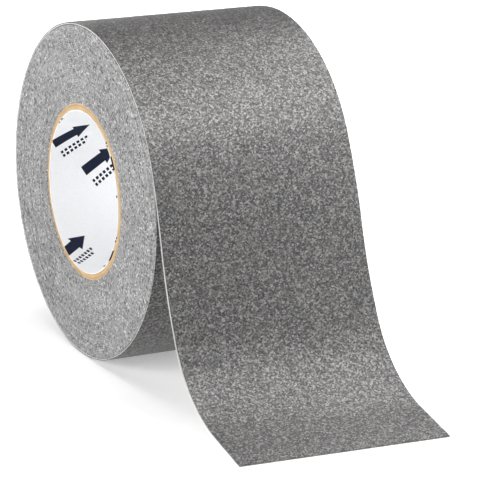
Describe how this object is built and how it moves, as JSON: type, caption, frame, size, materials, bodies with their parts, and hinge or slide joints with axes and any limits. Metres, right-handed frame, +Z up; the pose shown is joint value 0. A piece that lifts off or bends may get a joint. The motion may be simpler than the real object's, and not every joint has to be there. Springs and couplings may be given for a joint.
{
  "type": "abrasive grip tape roll",
  "caption": "Roll of wide gritty anti-slip tape wound on a paper core, its free end peeled off the roll and flared out flat on the floor.",
  "frame": {"origin": "on the floor, at the middle of the object's plan; the roll's axis is 45 mm towards +Y and 80.3 mm up", "axes": "+X along the roll's axis, +Z up, the free end of the tape runs towards -Y"},
  "size_m": [0.1016, 0.2507, 0.1606],
  "materials": {
    "grit": "matte",
    "film": "satin",
    "adhesive": "satin",
    "liner": "matte",
    "wound_edges": "matte",
    "kraft_board": "matte",
    "printed_lining": "satin"
  },
  "bodies": {
    "outer_turn": {"outer_turn_grit": "grit", "outer_turn_film": "film", "outer_turn_adhesive": "adhesive", "outer_turn_liner": "liner"},
    "wound_roll": {"core_lining": "printed_lining", "core_ply_1": "kraft_board", "core_ply_2": "kraft_board", "core_ply_3": "kraft_board", "core_ply_4": "kraft_board", "core_ply_5": "kraft_board", "wound_turns": "wound_edges"},
    "tail": {"tail_grit": "grit", "tail_film": "film", "tail_adhesive": "adhesive", "tail_liner": "liner"},
    "tail_end": {"tail_end_grit": "grit", "tail_end_film": "film", "tail_end_adhesive": "adhesive", "tail_end_liner": "liner"},
    "liner_flap": {"liner_flap": "liner"}
  },
  "joints": [
    {"name": "roll_spin", "type": "hinge", "parent": "outer_turn", "child": "wound_roll", "pos_m": [0, 0.045, 0.0803], "axis": [1, 0, 0], "continuous": true},
    {"name": "tail_lift", "type": "hinge", "parent": "outer_turn", "child": "tail", "pos_m": [0, -0.02778, 0.11424], "axis": [-1, 0, 0], "range_deg": [0, 75], "stiffness_Nm_per_rad": 0.08},
    {"name": "tail_curl", "type": "hinge", "parent": "tail", "child": "tail_end", "pos_m": [0, -0.07473, 0.01615], "axis": [-0.9989, 0.0468, 0], "range_deg": [-40, 60], "stiffness_Nm_per_rad": 0.03},
    {"name": "liner_peel", "type": "hinge", "parent": "tail_end", "child": "liner_flap", "pos_m": [0, -0.09241, 0.00667], "axis": [0.9985, -0.0553, 0], "range_deg": [0, 120]}
  ]
}
